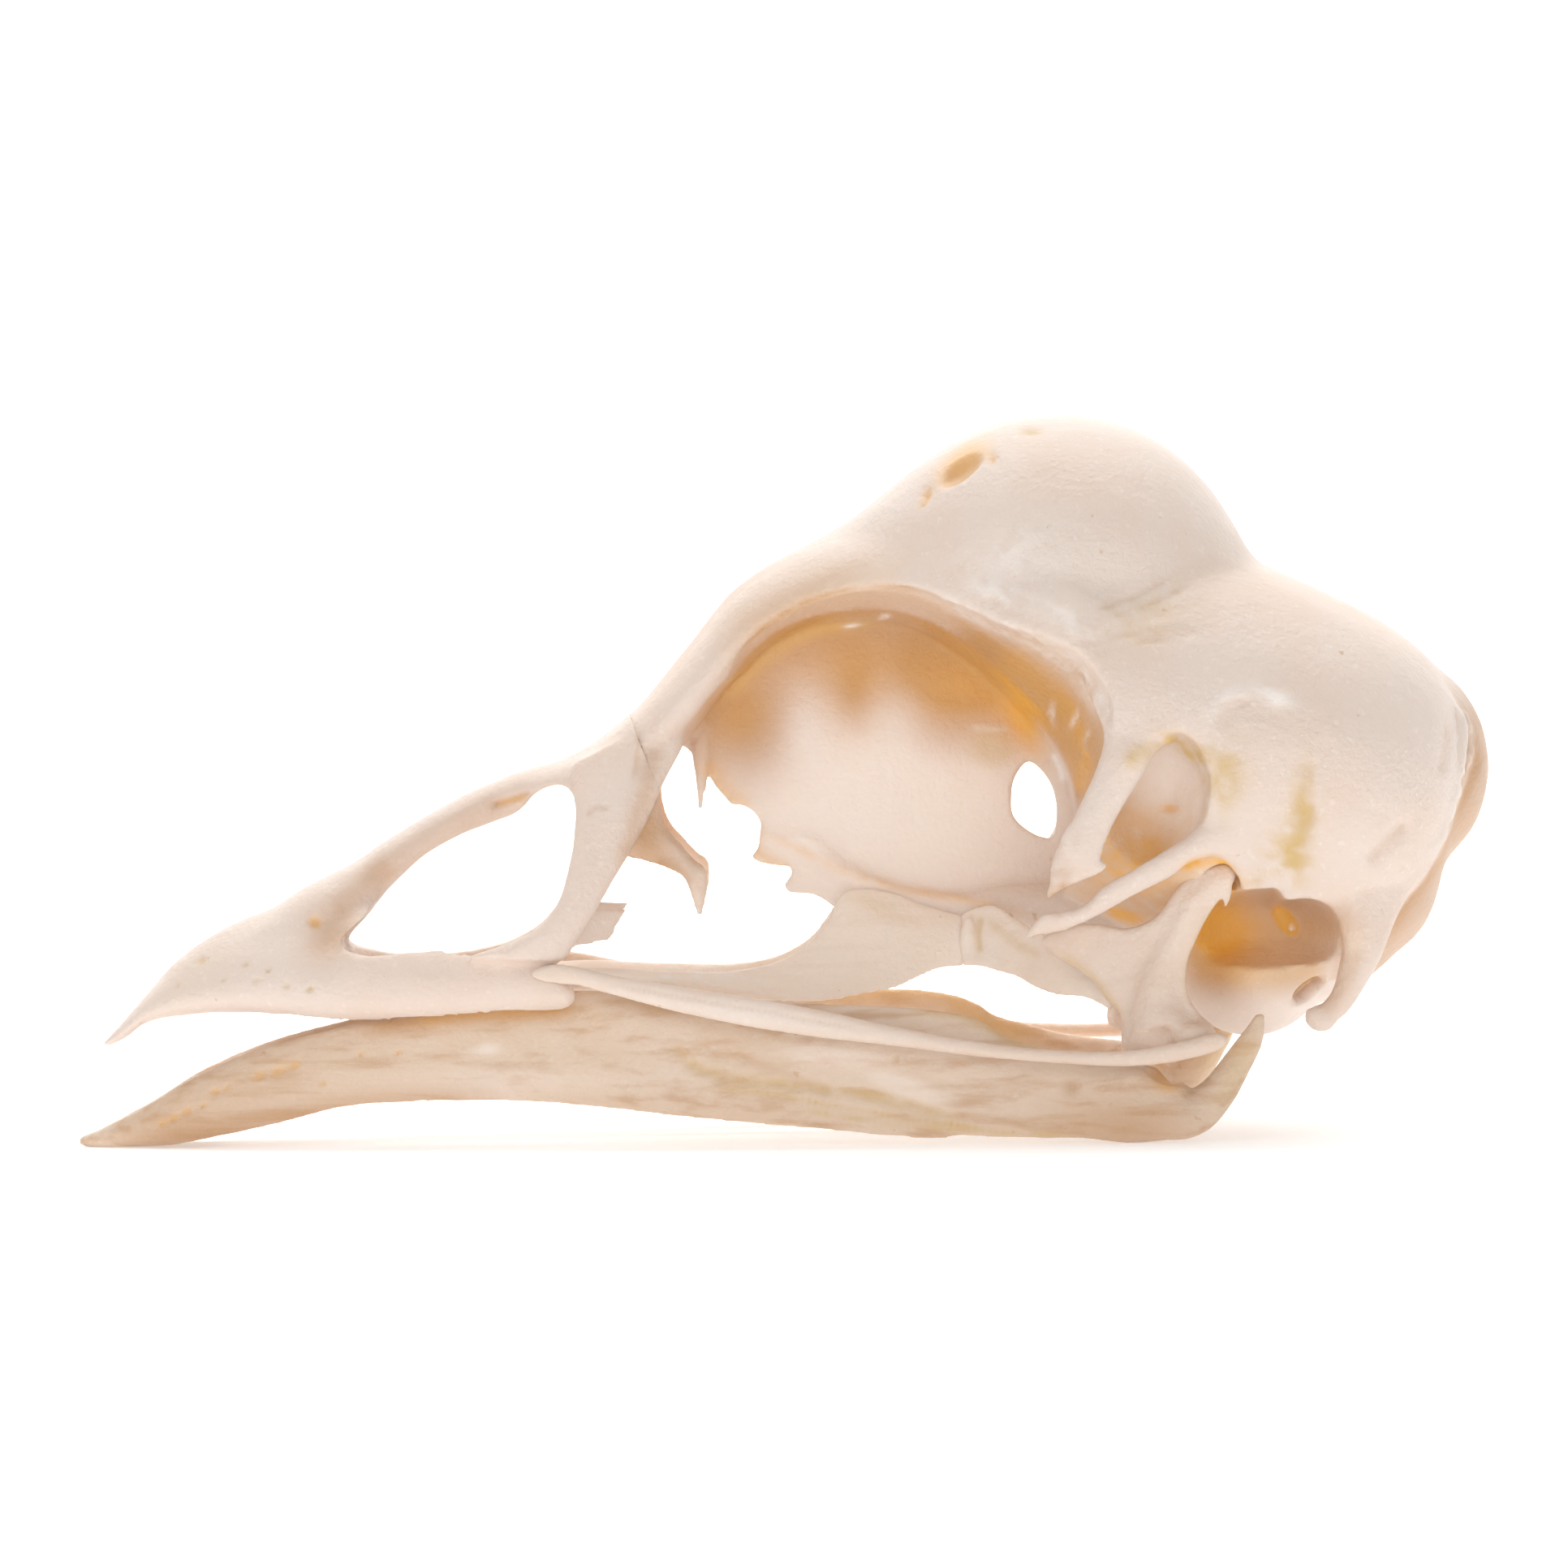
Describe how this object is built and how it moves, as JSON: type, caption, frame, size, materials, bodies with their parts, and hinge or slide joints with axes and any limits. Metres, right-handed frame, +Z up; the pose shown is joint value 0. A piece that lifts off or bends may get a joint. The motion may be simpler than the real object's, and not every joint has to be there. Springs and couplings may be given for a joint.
{
  "type": "chicken skull",
  "caption": "Life-size skull of a crested chicken with its lower jaw, cheek and palate bones, standing on the jaw as a still display model.",
  "frame": {"origin": "centre of the footprint of the skull's box, on the floor the lower jaw stands on", "axes": "-X towards the bill's tip, -Y the skull's left side, which the picture shows, +Z up"},
  "size_m": [0.0748, 0.0292, 0.038],
  "materials": {
    "cranium": "matt bone",
    "upper_beak": "matt bone",
    "mandible": "matt bone, warmer",
    "face_bones": "matt bone"
  },
  "bodies": {
    "root": {"cranium": "cranium", "upper_beak": "upper_beak", "mandible": "mandible", "lacrimal_left": "face_bones", "lacrimal_right": "face_bones", "jugal_left": "face_bones", "jugal_right": "face_bones", "palatine_left": "face_bones", "palatine_right": "face_bones", "pterygoid_left": "face_bones", "pterygoid_right": "face_bones", "quadrate_left": "face_bones", "quadrate_right": "face_bones"}
  },
  "joints": []
}
